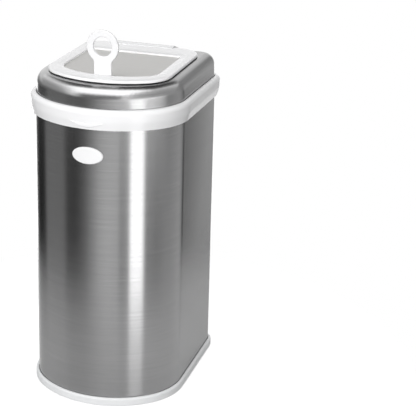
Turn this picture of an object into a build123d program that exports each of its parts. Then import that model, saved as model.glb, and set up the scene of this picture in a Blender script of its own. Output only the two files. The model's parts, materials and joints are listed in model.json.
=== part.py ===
"""Litter disposal pail: a brushed steel body with a bowed front, a hinged domed lid with a
flap and ring handle in it, a lift-out bag ring, and a slotted scoop hung on its back.

Millimetres. +Z is up, the front faces -Y, and the origin is on the floor under the middle
of the body.
"""

from build123d import *
from math import atan2, cos, radians, sin, sqrt
import os

os.makedirs("parts", exist_ok=True)

# ---- Driving dimensions ----------------------------------------------------------------

# Plan of the body: straight sides, a flat back and a bowed front. The sides draw in a
# little towards the top.
BODY_WIDTH = 230.0
TOP_DRAW_IN = 2.0
BODY_DEPTH = 273.0
BOW_RISE = 69.0
FRONT_CORNER = 86.5
REAR_CORNER = 28.0
SHEET = 1.0

# Heights above the floor.
FOOT_PROUD = 0.8
BASE_TOP = 13.2
BASE_FLOOR = 9.0
SHELL_BOTTOM = 5.0
SHELL_TOP = 438.0
RIM_TOP = 441.0
COLLAR_BOTTOM = 434.0
COLLAR_LEDGE = 443.0
COLLAR_TOP = 463.0
LEDGE_THICK = 3.0

# How far each ring stands out from the body's plan, or in from it when negative.
BASE_FLARE = 4.8
COLLAR_OUT = 5.3
COLLAR_CLEAR = 1.6
DOME_OUT = -2.4
LEDGE_IN = -7.0
RIM_OUT = 0.6
RIM_IN = -12.0
BAG_RING_OUT = -7.6
BAG_RING_WALL = -12.5
BAG_RING_IN = -14.5

# The dome's top slopes up to the rear; heights on it are measured from its surface.
DECK_HEIGHT = 494.6
DECK_SLOPE = 1.3
DOME_SHOULDER = 17.0
DOME_LEAN = 3.0
FRAME_LIFT = 1.6
FRAME_THICK = 4.8
FRAME_EDGE = 2.4
CROWN_DROP = 1.6
CROWN_SLOPE = 8.0
PANEL_TOP = 2.4
PANEL_THICK = 0.8
BACKING_THICK = 2.1

# Outlines of the flap: half-width, front, rear, bow radius, front corner, rear corner.
FLAP_OUTER = (93.0, -107.0, 107.0, 130.0, 50.0, 32.0)
FLAP_INNER = (74.0, -79.5, 62.0, 120.0, 30.0, 5.0)
PANEL_LAP = 3.4
CHUTE_GAP = 5.2
CHUTE_WALL = 2.0
CHUTE_DROP = 14.0

# Ring handle.
RING_Y = -75.4
RING_CENTRE = 45.2
RING_RADIUS = 24.0
RING_HOLE = 14.0
RING_THICK = 5.6
STEM_WIDTH = 26.0

# Hinges, both along X, behind the lid.
FLAP_AXIS = (136.0, 482.0)
LID_AXIS = (150.5, 448.0)
FLAP_PIN_RADIUS = 2.5
LID_PIN_RADIUS = 3.0
RUNNING_FIT = 0.05
NOTCH_HALF = 58.0
NOTCH_FRONT = 92.0
EAR_INNER = 49.5
BLOCK_HALF = 47.5
POCKET_FLOOR = 466.0
POCKET_WALL = 2.5
POCKET_EDGE = 496.4
PIN_HALF = 55.8
PIN_CHAMFER = 0.6

# Hinge bracket on the back.
BRACKET_THICK = 3.0
BRACKET_HALF = 56.0
BRACKET_TOP = 433.0
BRACKET_BOTTOM = 361.0
BRACKET_CORNER = 36.0
BRACKET_EDGE = 1.2
SCREW_X = 37.0
SCREW_HEIGHTS = (389.0, 417.0)
SCREW_RADIUS = 2.0
SCREW_HOLE = 2.2

# Scoop and the peg that it hangs on.
PEG_RADIUS = 2.5
PEG_TILT = 30.0
PEG_ROOT = 371.5
SCOOP_BACK = 141.5
HANDLE_FACE = 155.0
HANDLE_WIDTH = 28.0
HANDLE_TOP = 388.0
SCOOP_WALL = 2.2
BASKET_FACE = 174.0
BASKET_TOP = 262.0
BASKET_BOTTOM = 104.0
BASKET_RIM_HALF = 64.0
BASKET_FACE_HALF = 54.0
SLOT_COUNT = 11
SLOT_PITCH = 8.6
SLOT_WIDTH = 4.4

# Badge.
BADGE_HEIGHT = 394.8
BADGE_HALF_WIDTH = 23.1
BADGE_HALF_HEIGHT = 12.5
BADGE_PROUD = 2.6
BADGE_EDGE = 1.8
STUD_X = 15.0
STUD_RADIUS = 1.5
STUD_LENGTH = 6.0
CLIP_RADIUS = 4.5
CLIP_THICK = 1.2
CLIP_INSIDE = 4.6
STUD_FIT = 0.1
STUD_SINK = 0.6

# How far a cut runs past the face that it opens.
CUT_PAST = 1.0

# How far a round corner's middle lies in from each of its sides, as a share of the radius.
CORNER_MIDDLE = 1 - sqrt(0.5)

# ---- Worked-out values -----------------------------------------------------------------

BACK = BODY_DEPTH / 2
FRONT = -BODY_DEPTH / 2
INSIDE_BACK = BACK - SHEET
BOW_RADIUS = ((BODY_WIDTH / 2) ** 2 + BOW_RISE**2) / (2 * BOW_RISE)
BOW_CENTRE_Y = FRONT + BOW_RADIUS

deck = Plane(
    origin=(0, 0, DECK_HEIGHT),
    x_dir=(1, 0, 0),
    z_dir=(0, -sin(radians(DECK_SLOPE)), cos(radians(DECK_SLOPE))),
)


def bowed_face(half_width, front, rear, bow_radius, front_corner, rear_corner, mode=Mode.ADD):
    """Adds a face with a bowed front, straight sides, a flat back and round corners."""
    bow_y = front + bow_radius
    corner_x = half_width - front_corner
    corner_y = bow_y - sqrt((bow_radius - front_corner) ** 2 - corner_x**2)
    aim = atan2(corner_y - bow_y, corner_x)
    bow_x_end = bow_radius * cos(aim)
    bow_y_end = bow_y + bow_radius * sin(aim)
    front_mid_x = corner_x + front_corner * cos(aim / 2)
    front_mid_y = corner_y + front_corner * sin(aim / 2)
    rear_mid = rear_corner * CORNER_MIDDLE
    with BuildLine() as edge_line:
        ThreePointArc((-bow_x_end, bow_y_end), (0, front), (bow_x_end, bow_y_end))
        Line((-half_width + rear_corner, rear), (half_width - rear_corner, rear))
        for side in (-1, 1):
            ThreePointArc(
                (side * bow_x_end, bow_y_end),
                (side * front_mid_x, front_mid_y),
                (side * half_width, corner_y),
            )
            Line((side * half_width, corner_y), (side * half_width, rear - rear_corner))
            ThreePointArc(
                (side * half_width, rear - rear_corner),
                (side * (half_width - rear_mid), rear - rear_mid),
                (side * (half_width - rear_corner), rear),
            )
    make_face(edge_line.edges(), mode=mode)


def body_plan(grow, mode=Mode.ADD, draw_in=0.0):
    """Adds the body's plan, moved out by grow, with its sides drawn in."""
    bowed_face(
        BODY_WIDTH / 2 + grow - draw_in,
        FRONT - grow,
        BACK + grow,
        BOW_RADIUS + grow,
        FRONT_CORNER + grow,
        REAR_CORNER + grow,
        mode,
    )


def flap_plan(grow, mode=Mode.ADD):
    """Adds the outline of the flap's window, moved out by grow."""
    half_width, front, rear, bow_radius, front_corner, rear_corner = FLAP_INNER
    bowed_face(
        half_width + grow,
        front - grow,
        rear + grow,
        bow_radius + grow,
        front_corner + grow,
        rear_corner + grow,
        mode,
    )


def plan_ring(outer, inner, draw_in=0.0):
    """Adds the ring between two offsets of the body's plan, with its sides drawn in."""
    body_plan(outer, draw_in=draw_in)
    body_plan(inner, Mode.SUBTRACT, draw_in)


def flap_ring(outer, inner):
    """Adds the ring between two offsets of the flap's window."""
    flap_plan(outer)
    flap_plan(inner, Mode.SUBTRACT)


def front_y(x, grow):
    """The front surface's y at a distance x from the middle, moved out by grow."""
    return BOW_CENTRE_Y - sqrt((BOW_RADIUS + grow) ** 2 - x**2)


def finish(part, name):
    """Labels a sub-part and writes its file."""
    part.label = name
    export_step(part, f"parts/{name}.step")


# ---- Base ------------------------------------------------------------------------------

# Moulded tray: a rounded skirt, the pail's floor, ribs under it and a groove for the shell.
FLOOR_THICK = 3.0
TRAY_WALL = 5.0
BASE_EDGE = 3.2
BASE_LOWER_EDGE = 1.2
RIB_COUNT = 5
RIB_SPACING = 45.0
RIB_THICK = 2.0
RIB_SINK = 1.0
FOOT_RADIUS = 8.0
FOOT_EDGE = 0.5
BOSS_WALL = 1.5
FOOT_TOP = 2.0
FOOT_SPACING_X = 150.0
FOOT_SPACING_Y = 190.0
FOOT_MIDDLE_Y = 10.0
GROOVE_GAP = 0.6
GROOVE_INNER_GAP = 0.1


def foot_circles(radius):
    """Adds the feet's circles: one at each corner and one in the middle."""
    Circle(radius)
    with Locations((0, FOOT_MIDDLE_Y)):
        with GridLocations(FOOT_SPACING_X, FOOT_SPACING_Y, 2, 2):
            Circle(radius)


with BuildPart() as base_tray:
    with BuildSketch(Plane.XY.offset(FOOT_PROUD)):
        body_plan(BASE_FLARE)
    extrude(amount=BASE_TOP - FOOT_PROUD)
    fillet(base_tray.edges().group_by(Axis.Z)[-1], radius=BASE_EDGE)
    fillet(base_tray.edges().group_by(Axis.Z)[0], radius=BASE_LOWER_EDGE)
    with BuildSketch(Plane.XY.offset(BASE_FLOOR)):
        body_plan(-TRAY_WALL)
    extrude(amount=BASE_TOP, mode=Mode.SUBTRACT)
    with BuildSketch(Plane.XY.offset(SHELL_BOTTOM)):
        plan_ring(GROOVE_GAP, -SHEET - GROOVE_INNER_GAP)
    extrude(amount=BASE_TOP, mode=Mode.SUBTRACT)
    with BuildSketch(Plane.XY):
        body_plan(-TRAY_WALL)
    extrude(amount=BASE_FLOOR - FLOOR_THICK, mode=Mode.SUBTRACT)
    with BuildSketch(Plane.XY.offset(FOOT_TOP)):
        with GridLocations(RIB_SPACING, 0, RIB_COUNT, 1):
            Rectangle(RIB_THICK, BODY_DEPTH)
        with GridLocations(0, RIB_SPACING, 1, RIB_COUNT):
            Rectangle(BODY_WIDTH, RIB_THICK)
        foot_circles(FOOT_RADIUS + BOSS_WALL)
        body_plan(RIB_SINK - TRAY_WALL, Mode.INTERSECT)
    extrude(amount=BASE_FLOOR - FOOT_TOP - RIB_SINK)
finish(base_tray.part, "base_tray")

# Rubber pads under the tray's bosses.
with BuildPart() as rubber_feet:
    with BuildSketch(Plane.XY):
        foot_circles(FOOT_RADIUS)
    extrude(amount=FOOT_TOP)
    chamfer(rubber_feet.edges().group_by(Axis.Z)[0], length=FOOT_EDGE)
finish(rubber_feet.part, "rubber_feet")

# ---- Body shell ------------------------------------------------------------------------

screw_points = [(x, z) for x in (-SCREW_X, SCREW_X) for z in SCREW_HEIGHTS]

with BuildPart() as body_shell:
    with BuildSketch(Plane.XY.offset(SHELL_BOTTOM)):
        body_plan(0)
    with BuildSketch(Plane.XY.offset(SHELL_TOP)):
        body_plan(0, draw_in=TOP_DRAW_IN)
    loft(ruled=True)
    with BuildSketch(Plane.XY.offset(SHELL_BOTTOM)):
        body_plan(-SHEET)
    with BuildSketch(Plane.XY.offset(SHELL_TOP)):
        body_plan(-SHEET, draw_in=TOP_DRAW_IN)
    loft(ruled=True, mode=Mode.SUBTRACT)
    with BuildSketch(Plane.XZ.offset(-BACK - SHEET)):
        with Locations(*screw_points):
            Circle(SCREW_HOLE)
    extrude(amount=3 * SHEET, mode=Mode.SUBTRACT)
    with BuildSketch(Plane.XZ.offset(-FRONT / 2)):
        with Locations((-STUD_X, BADGE_HEIGHT), (STUD_X, BADGE_HEIGHT)):
            Circle(STUD_RADIUS + STUD_FIT)
    extrude(amount=BODY_DEPTH / 2, mode=Mode.SUBTRACT)
finish(body_shell.part, "body_shell")

# Rim frame: caps the shell's edge, takes the lid's seal and seats the bag ring.
RIM_BOTTOM = 427.0
RIM_WALL = -3.4
RIM_LIP_DROP = 7.0
RIM_LIP = 1.6

with BuildPart() as rim_frame:
    with BuildSketch(Plane.XY.offset(RIM_BOTTOM)):
        plan_ring(-SHEET, RIM_WALL, TOP_DRAW_IN)
    extrude(amount=SHELL_TOP - RIM_BOTTOM)
    with BuildSketch(Plane.XY.offset(SHELL_TOP)):
        plan_ring(RIM_OUT, RIM_IN, TOP_DRAW_IN)
    extrude(amount=RIM_TOP - SHELL_TOP)
    with BuildSketch(Plane.XY.offset(SHELL_TOP - RIM_LIP_DROP)):
        plan_ring(RIM_IN + RIM_LIP, RIM_IN, TOP_DRAW_IN)
    extrude(amount=RIM_LIP_DROP)
finish(rim_frame.part, "rim_frame")

# Bag ring: a hoop that drops inside the rim and traps the bag over it.
BAG_RING_LIFT = 0.3
BAG_RING_FLANGE = 2.0
BAG_RING_DEPTH = 17.0
BAG_RING_EDGE = 0.8

with BuildPart() as bag_ring:
    with BuildSketch(Plane.XY.offset(RIM_TOP + BAG_RING_LIFT - BAG_RING_DEPTH)):
        plan_ring(BAG_RING_WALL, BAG_RING_IN, TOP_DRAW_IN)
    extrude(amount=BAG_RING_DEPTH)
    with BuildSketch(Plane.XY.offset(RIM_TOP + BAG_RING_LIFT)):
        plan_ring(BAG_RING_OUT, BAG_RING_IN, TOP_DRAW_IN)
    extrude(amount=BAG_RING_FLANGE)
    fillet(bag_ring.edges().group_by(Axis.Z)[-1], radius=BAG_RING_EDGE)
finish(bag_ring.part, "bag_ring")

# ---- Badge -----------------------------------------------------------------------------

# A bare oval plate that follows the bowed front, held by two studs through the shell.
with BuildPart() as badge:
    with BuildSketch(Plane.XY.offset(BADGE_HEIGHT - BADGE_HALF_HEIGHT)):
        plan_ring(BADGE_PROUD, 0)
    extrude(amount=2 * BADGE_HALF_HEIGHT)
    with BuildSketch(Plane.XZ.offset(-FRONT / 2)):
        with Locations((0, BADGE_HEIGHT)):
            Ellipse(BADGE_HALF_WIDTH, BADGE_HALF_HEIGHT)
    extrude(amount=BODY_DEPTH / 2, mode=Mode.INTERSECT)
    fillet(badge.faces().sort_by(Axis.Y)[0].edges(), radius=BADGE_EDGE)
    with BuildSketch(Plane.XZ.offset(-front_y(STUD_X, -STUD_LENGTH))):
        with Locations((-STUD_X, BADGE_HEIGHT), (STUD_X, BADGE_HEIGHT)):
            Circle(STUD_RADIUS)
    extrude(amount=STUD_LENGTH + STUD_SINK)
finish(badge.part, "badge")

# Push-on clips that hold the badge's studs inside the shell.
with BuildPart() as badge_clips:
    with BuildSketch(Plane.XZ.offset(-front_y(STUD_X, -CLIP_INSIDE))):
        with Locations((-STUD_X, BADGE_HEIGHT), (STUD_X, BADGE_HEIGHT)):
            Circle(CLIP_RADIUS)
            Circle(STUD_RADIUS, mode=Mode.SUBTRACT)
    extrude(amount=CLIP_THICK)
finish(badge_clips.part, "badge_clips")

# ---- Hinge bracket on the back ---------------------------------------------------------

KNUCKLE_RADIUS = 8.5
KNUCKLE_ROOT = 14.0
KNUCKLE_INNER = 26.0
KNUCKLE_OUTER = 48.0
KNUCKLE_SINK = 0.5
knuckle_flank = KNUCKLE_RADIUS * sqrt(0.5)

lid_pin_line = Plane(origin=(0, LID_AXIS[0], LID_AXIS[1]), x_dir=(0, 1, 0), z_dir=(1, 0, 0))
flap_pin_line = Plane(origin=(0, FLAP_AXIS[0], FLAP_AXIS[1]), x_dir=(0, 1, 0), z_dir=(1, 0, 0))

# Shield-shaped plate with two knuckles that hold the lid's pin.
with BuildPart() as hinge_bracket:
    with BuildSketch(Plane.XZ.offset(-BACK)):
        with Locations((0, (BRACKET_TOP + BRACKET_BOTTOM) / 2)):
            Rectangle(2 * BRACKET_HALF, BRACKET_TOP - BRACKET_BOTTOM)
    extrude(amount=-BRACKET_THICK)
    fillet(
        hinge_bracket.edges().filter_by(Axis.Y).group_by(Axis.Z)[0],
        radius=BRACKET_CORNER,
    )
    fillet(hinge_bracket.faces().sort_by(Axis.Y)[-1].edges(), radius=BRACKET_EDGE)
    for side in (-1, 1):
        with BuildSketch(Plane.YZ.offset(side * (KNUCKLE_INNER + KNUCKLE_OUTER) / 2)):
            with Locations(LID_AXIS):
                Circle(KNUCKLE_RADIUS)
            Polygon(
                (BACK + KNUCKLE_SINK, BRACKET_TOP - KNUCKLE_ROOT),
                (BACK + KNUCKLE_SINK, BRACKET_TOP),
                (LID_AXIS[0] - KNUCKLE_RADIUS, BRACKET_TOP + KNUCKLE_RADIUS),
                LID_AXIS,
                (LID_AXIS[0] + knuckle_flank, LID_AXIS[1] - knuckle_flank),
                align=None,
            )
        extrude(amount=(KNUCKLE_OUTER - KNUCKLE_INNER) / 2, both=True)
    with BuildSketch(lid_pin_line):
        Circle(LID_PIN_RADIUS)
    extrude(amount=NOTCH_HALF, both=True, mode=Mode.SUBTRACT)
    with BuildSketch(Plane.XZ.offset(-INSIDE_BACK)):
        with Locations(*screw_points):
            Circle(SCREW_HOLE)
    extrude(amount=-2 * BRACKET_THICK, mode=Mode.SUBTRACT)
finish(hinge_bracket.part, "hinge_bracket")

# Screws with domed heads and cross recesses, through the plate and the shell.
HEAD_RADIUS = 4.2
HEAD_HEIGHT = 2.4
HEAD_EDGE = 1.8
RECESS_LENGTH = 4.0
RECESS_WIDTH = 0.9
RECESS_DEPTH = 1.0
SCREW_LENGTH = 12.0

with BuildPart() as bracket_screws:
    with BuildSketch(Plane.XZ.offset(-BACK - BRACKET_THICK)):
        with Locations(*screw_points):
            Circle(HEAD_RADIUS)
    extrude(amount=-HEAD_HEIGHT)
    fillet(bracket_screws.edges().group_by(Axis.Y)[-1], radius=HEAD_EDGE)
    with BuildSketch(Plane.XZ.offset(-BACK - BRACKET_THICK - HEAD_HEIGHT)):
        with Locations(*screw_points):
            Rectangle(RECESS_LENGTH, RECESS_WIDTH)
            Rectangle(RECESS_WIDTH, RECESS_LENGTH)
    extrude(amount=RECESS_DEPTH, mode=Mode.SUBTRACT)
    with BuildSketch(Plane.XZ.offset(-BACK - BRACKET_THICK)):
        with Locations(*screw_points):
            Circle(SCREW_RADIUS)
    extrude(amount=SCREW_LENGTH)
finish(bracket_screws.part, "bracket_screws")

# Steel plate inside the shell that spreads the bracket's load, and its nuts.
BACKING_PLATE = 2.0
PLATE_MARGIN = 11.0
PLATE_CORNER = 8.0
PLATE_DROP = 4.0
NUT_WIDTH = 7.0
NUT_THICK = 3.2

with BuildPart() as backing_plate:
    with BuildSketch(Plane.XZ.offset(-INSIDE_BACK)):
        with Locations((0, sum(SCREW_HEIGHTS) / 2 - PLATE_DROP)):
            RectangleRounded(
                2 * (SCREW_X + PLATE_MARGIN),
                SCREW_HEIGHTS[1] - SCREW_HEIGHTS[0] + 2 * PLATE_MARGIN,
                PLATE_CORNER,
            )
        with Locations(*screw_points):
            Circle(SCREW_HOLE, mode=Mode.SUBTRACT)
    extrude(amount=BACKING_PLATE)
finish(backing_plate.part, "backing_plate")

with BuildPart() as bracket_nuts:
    with BuildSketch(Plane.XZ.offset(-INSIDE_BACK + BACKING_PLATE)):
        with Locations(*screw_points):
            RegularPolygon(NUT_WIDTH / 2, 6, major_radius=False)
            Circle(SCREW_RADIUS, mode=Mode.SUBTRACT)
    extrude(amount=NUT_THICK)
finish(bracket_nuts.part, "bracket_nuts")

# Peg for the scoop: a boss on the plate and a rod that rises as it leaves the back.
peg_line = Plane(
    origin=(0, BACK + BRACKET_THICK, PEG_ROOT),
    x_dir=(1, 0, 0),
    z_dir=(0, cos(radians(PEG_TILT)), sin(radians(PEG_TILT))),
)
PEG_LENGTH = 26.0
PEG_BOSS_RADIUS = 7.0
PEG_BOSS_THICK = 2.2
PEG_EDGE = 1.2

with BuildPart() as scoop_peg:
    with BuildSketch(Plane.XZ.offset(-BACK - BRACKET_THICK)):
        with Locations((0, PEG_ROOT)):
            Circle(PEG_BOSS_RADIUS)
    extrude(amount=-PEG_BOSS_THICK)
    with BuildSketch(peg_line):
        Circle(PEG_RADIUS)
    extrude(amount=PEG_LENGTH)
    fillet(scoop_peg.faces().sort_by(Axis.Y)[-1].edges(), radius=PEG_EDGE)
    split(bisect_by=Plane.XZ.offset(-BACK - BRACKET_THICK), keep=Keep.BOTTOM)
finish(scoop_peg.part, "scoop_peg")

# Steel pin of the lid's hinge, held in the bracket's knuckles.
with BuildPart() as lid_pin:
    with BuildSketch(lid_pin_line):
        Circle(LID_PIN_RADIUS)
    extrude(amount=PIN_HALF, both=True)
    chamfer(lid_pin.edges(), length=PIN_CHAMFER)
finish(lid_pin.part, "lid_pin")

# ---- Lid -------------------------------------------------------------------------------

COLLAR_EDGE = 7.2
COLLAR_TUCK = 2.4
COLLAR_TUCK_HEIGHT = 12.0
COLLAR_BULGE = 28.0
REAR_SKIRT = 442.5
SKIRT_RISE_START = 103.0
SKIRT_RISE_END = 115.0
NOTCH_LENGTH = 60.0
LIP_HALF = 24.0
LIP_PROUD = 1.0
LIP_ENDS = 444.4
LIP_LOW = 438.6
LIP_HIGH = 442.4

# Crescent finger lip on the collar's front.
with BuildPart() as finger_lip:
    with BuildSketch(Plane.XZ):
        with BuildLine():
            ThreePointArc((-LIP_HALF, LIP_ENDS), (0, LIP_LOW), (LIP_HALF, LIP_ENDS))
            ThreePointArc((-LIP_HALF, LIP_ENDS), (0, LIP_HIGH), (LIP_HALF, LIP_ENDS))
        make_face()
    extrude(amount=BODY_DEPTH)
    with BuildSketch(Plane.XY.offset(COLLAR_BOTTOM)):
        plan_ring(COLLAR_OUT + LIP_PROUD, COLLAR_CLEAR)
    extrude(amount=COLLAR_TOP - COLLAR_BOTTOM, mode=Mode.INTERSECT)

# Screws up through the collar's ledge into the liner, hidden by the seal.
LID_SCREW_IN = -5.55
LID_SCREW_RADIUS = 1.1
LID_SCREW_GRIP = 8.0
side_x = BODY_WIDTH / 2 + LID_SCREW_IN
rear_y = BACK + LID_SCREW_IN
lid_screw_points = [
    (-40.0, front_y(40.0, LID_SCREW_IN)),
    (40.0, front_y(40.0, LID_SCREW_IN)),
    (-side_x, 0.0),
    (side_x, 0.0),
    (-side_x, 90.0),
    (side_x, 90.0),
    (-75.0, rear_y),
    (75.0, rear_y),
]

with BuildPart() as lid_screws:
    with BuildSketch(Plane.XY.offset(COLLAR_LEDGE)):
        with Locations(*lid_screw_points):
            Circle(LID_SCREW_RADIUS)
    extrude(amount=LEDGE_THICK + LID_SCREW_GRIP)
finish(lid_screws.part, "lid_screws")

# White collar: wraps the rim outside, and its ledge carries the dome and the seal. It is
# open at the rear for the hinge housing, and its skirt is cut up there to clear the back.
with BuildPart() as lid_collar:
    with BuildSketch(Plane.XY.offset(COLLAR_BOTTOM)):
        body_plan(COLLAR_OUT)
    extrude(amount=COLLAR_TOP - COLLAR_BOTTOM)
    fillet(lid_collar.edges().group_by(Axis.Z)[-1], radius=COLLAR_EDGE)
    chamfer(
        lid_collar.edges().group_by(Axis.Z)[0],
        length=COLLAR_TUCK,
        length2=COLLAR_TUCK_HEIGHT,
        reference=lid_collar.faces().sort_by(Axis.Z)[0],
    )
    ridge = lid_collar.edges().filter_by(
        lambda e: abs(e.center().Z - COLLAR_BOTTOM - COLLAR_TUCK_HEIGHT) < 0.01
    )
    fillet(ridge, radius=COLLAR_BULGE)
    add(finger_lip.part)
    with BuildSketch(Plane.XY.offset(COLLAR_BOTTOM)):
        body_plan(COLLAR_CLEAR)
    extrude(amount=COLLAR_LEDGE - COLLAR_BOTTOM, mode=Mode.SUBTRACT)
    with BuildSketch(Plane.XY.offset(COLLAR_LEDGE)):
        body_plan(LEDGE_IN)
    extrude(amount=LEDGE_THICK, mode=Mode.SUBTRACT)
    with BuildSketch(Plane.XY.offset(COLLAR_LEDGE + LEDGE_THICK)):
        body_plan(DOME_OUT)
    extrude(amount=COLLAR_TOP, mode=Mode.SUBTRACT)
    with BuildSketch(Plane.YZ):
        Polygon(
            (SKIRT_RISE_START, COLLAR_BOTTOM - CUT_PAST),
            (SKIRT_RISE_START, COLLAR_BOTTOM),
            (SKIRT_RISE_END, REAR_SKIRT),
            (2 * BACK, REAR_SKIRT),
            (2 * BACK, COLLAR_BOTTOM - CUT_PAST),
            align=None,
        )
    extrude(amount=BODY_WIDTH, both=True, mode=Mode.SUBTRACT)
    with BuildSketch(Plane.XY.offset(COLLAR_BOTTOM)):
        with Locations((0, BACK)):
            Rectangle(2 * NOTCH_HALF, NOTCH_LENGTH)
    extrude(amount=COLLAR_TOP, mode=Mode.SUBTRACT)
    add(lid_screws.part, mode=Mode.SUBTRACT)
finish(lid_collar.part, "lid_collar")


def dome_solid(grow, drop, shoulder):
    """The dome's outer or inner form: leaning walls, a sloping top and a round shoulder."""
    with BuildPart() as form:
        with BuildSketch(Plane.XY.offset(COLLAR_LEDGE + LEDGE_THICK)):
            body_plan(grow)
        extrude(amount=2 * (DECK_HEIGHT - COLLAR_LEDGE), taper=DOME_LEAN)
        split(bisect_by=deck.offset(-drop), keep=Keep.BOTTOM)
        fillet(form.faces().sort_by(Axis.Z)[-1].edges(), radius=shoulder)
    return form.part


# Brushed steel dome, pressed from one sheet, with the flap's window and the hinge notch.
dome_outside = dome_solid(DOME_OUT, 0.0, DOME_SHOULDER)
dome_inside = dome_solid(DOME_OUT - SHEET, SHEET, DOME_SHOULDER - SHEET)

with BuildPart() as lid_dome:
    add(dome_outside)
    add(dome_inside, mode=Mode.SUBTRACT)
    with BuildSketch(deck.offset(-CHUTE_DROP)):
        flap_plan(CHUTE_GAP + CHUTE_WALL)
    extrude(amount=2 * CHUTE_DROP, mode=Mode.SUBTRACT)
    with BuildSketch(Plane.XY.offset(COLLAR_BOTTOM)):
        with Locations((0, NOTCH_FRONT + NOTCH_LENGTH / 2)):
            Rectangle(2 * NOTCH_HALF, NOTCH_LENGTH)
    extrude(amount=DECK_HEIGHT, mode=Mode.SUBTRACT)
finish(lid_dome.part, "lid_dome")

# Chute: lines the dome's window, with a flange under the sheet and a lip that the seal meets.
CHUTE_FLANGE = 6.0
FLANGE_THICK = 2.0
FLANGE_LAP = 1.0
CHUTE_LIP = 0.9

with BuildPart() as window_chute:
    with BuildSketch(deck.offset(-CHUTE_DROP)):
        flap_ring(CHUTE_GAP + CHUTE_WALL, CHUTE_GAP)
    extrude(amount=CHUTE_DROP + CHUTE_LIP)
    with BuildSketch(deck.offset(-SHEET - FLANGE_THICK)):
        flap_ring(CHUTE_GAP + CHUTE_WALL + CHUTE_FLANGE, CHUTE_GAP + FLANGE_LAP)
    extrude(amount=FLANGE_THICK)
finish(window_chute.part, "window_chute")

# Liner: clamps the dome's edge to the collar from inside.
LINER_HEIGHT = 12.0
LINER_GAP = 0.7

with BuildPart() as lid_liner:
    with BuildSketch(Plane.XY.offset(COLLAR_LEDGE + LEDGE_THICK)):
        plan_ring(DOME_OUT - SHEET - LINER_GAP, LEDGE_IN)
        with Locations((0, BACK)):
            Rectangle(2 * NOTCH_HALF, NOTCH_LENGTH, mode=Mode.SUBTRACT)
    extrude(amount=LINER_HEIGHT)
    add(lid_screws.part, mode=Mode.SUBTRACT)
finish(lid_liner.part, "lid_liner")

# Rubber seal under the ledge.
SEAL_GAP = 0.3
SEAL_THICK = COLLAR_LEDGE - RIM_TOP - SEAL_GAP
SEAL_OUT = -2.0
SEAL_IN = -6.0

with BuildPart() as lid_seal:
    with BuildSketch(Plane.XY.offset(COLLAR_LEDGE - SEAL_THICK)):
        plan_ring(SEAL_OUT, SEAL_IN)
    extrude(amount=SEAL_THICK)
finish(lid_seal.part, "lid_seal")

# Hinge housing: fills the notch with a pocket for the flap's hinge block, between two
# bulged ears that carry both hinge pins.
EAR_RADIUS = 12.5
EAR_TOP_RADIUS = 8.5
EAR_SHELF_START = (118.0, 496.7)
EAR_SHELF_END = (126.0, 494.8)
HOUSING_GAP = 0.3

with BuildPart() as hinge_housing:
    for side in (-1, 1):
        with BuildSketch(Plane.YZ.offset(side * (EAR_INNER + NOTCH_HALF) / 2)) as ear:
            with Locations(LID_AXIS):
                Circle(EAR_RADIUS)
            with Locations(FLAP_AXIS):
                Circle(EAR_TOP_RADIUS)
            make_hull(ear.edges())
            Polygon(
                (NOTCH_FRONT, POCKET_FLOOR - POCKET_WALL),
                (NOTCH_FRONT, POCKET_EDGE),
                EAR_SHELF_START,
                EAR_SHELF_END,
                (FLAP_AXIS[0], FLAP_AXIS[1] + EAR_TOP_RADIUS),
                (FLAP_AXIS[0] + EAR_TOP_RADIUS, POCKET_FLOOR - POCKET_WALL),
                align=None,
            )
            Polygon(
                (BACK + DOME_OUT, COLLAR_LEDGE),
                (BACK + DOME_OUT, POCKET_FLOOR),
                (LID_AXIS[0], POCKET_FLOOR),
                (LID_AXIS[0], COLLAR_LEDGE),
                align=None,
            )
        extrude(amount=(NOTCH_HALF - EAR_INNER) / 2, both=True)
    with BuildSketch(Plane.YZ):
        with BuildLine():
            Polyline(
                (NOTCH_FRONT, POCKET_FLOOR - POCKET_WALL),
                (NOTCH_FRONT, POCKET_EDGE),
                (NOTCH_FRONT + POCKET_WALL, POCKET_EDGE),
                (NOTCH_FRONT + POCKET_WALL, POCKET_FLOOR),
                (BACK - HOUSING_GAP, POCKET_FLOOR),
                (BACK - HOUSING_GAP, COLLAR_LEDGE),
                (BACK + LEDGE_IN, COLLAR_LEDGE),
                (BACK + LEDGE_IN, COLLAR_LEDGE + LEDGE_THICK),
                (BACK + DOME_OUT, COLLAR_LEDGE + LEDGE_THICK),
                (BACK + DOME_OUT, POCKET_FLOOR - POCKET_WALL),
                close=True,
            )
        make_face()
    extrude(amount=NOTCH_HALF, both=True)
    with BuildSketch(lid_pin_line):
        Circle(LID_PIN_RADIUS + RUNNING_FIT)
    extrude(amount=2 * NOTCH_HALF, both=True, mode=Mode.SUBTRACT)
    with BuildSketch(flap_pin_line):
        Circle(FLAP_PIN_RADIUS)
    extrude(amount=2 * NOTCH_HALF, both=True, mode=Mode.SUBTRACT)
finish(hinge_housing.part, "hinge_housing")

# Steel pin of the flap's hinge, pressed into the housing's ears.
with BuildPart() as flap_pin:
    with BuildSketch(flap_pin_line):
        Circle(FLAP_PIN_RADIUS)
    extrude(amount=PIN_HALF, both=True)
finish(flap_pin.part, "flap_pin")

# Caps that close the pins' bores in the ears.
CAP_THICK = 1.8

with BuildPart() as pin_caps:
    for side in (-1, 1):
        with BuildSketch(lid_pin_line.offset(side * (NOTCH_HALF - CAP_THICK / 2))):
            Circle(LID_PIN_RADIUS + RUNNING_FIT)
        extrude(amount=CAP_THICK / 2, both=True)
        with BuildSketch(flap_pin_line.offset(side * (NOTCH_HALF - CAP_THICK / 2))):
            Circle(FLAP_PIN_RADIUS)
        extrude(amount=CAP_THICK / 2, both=True)
finish(pin_caps.part, "pin_caps")

# ---- Flap ------------------------------------------------------------------------------


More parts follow.
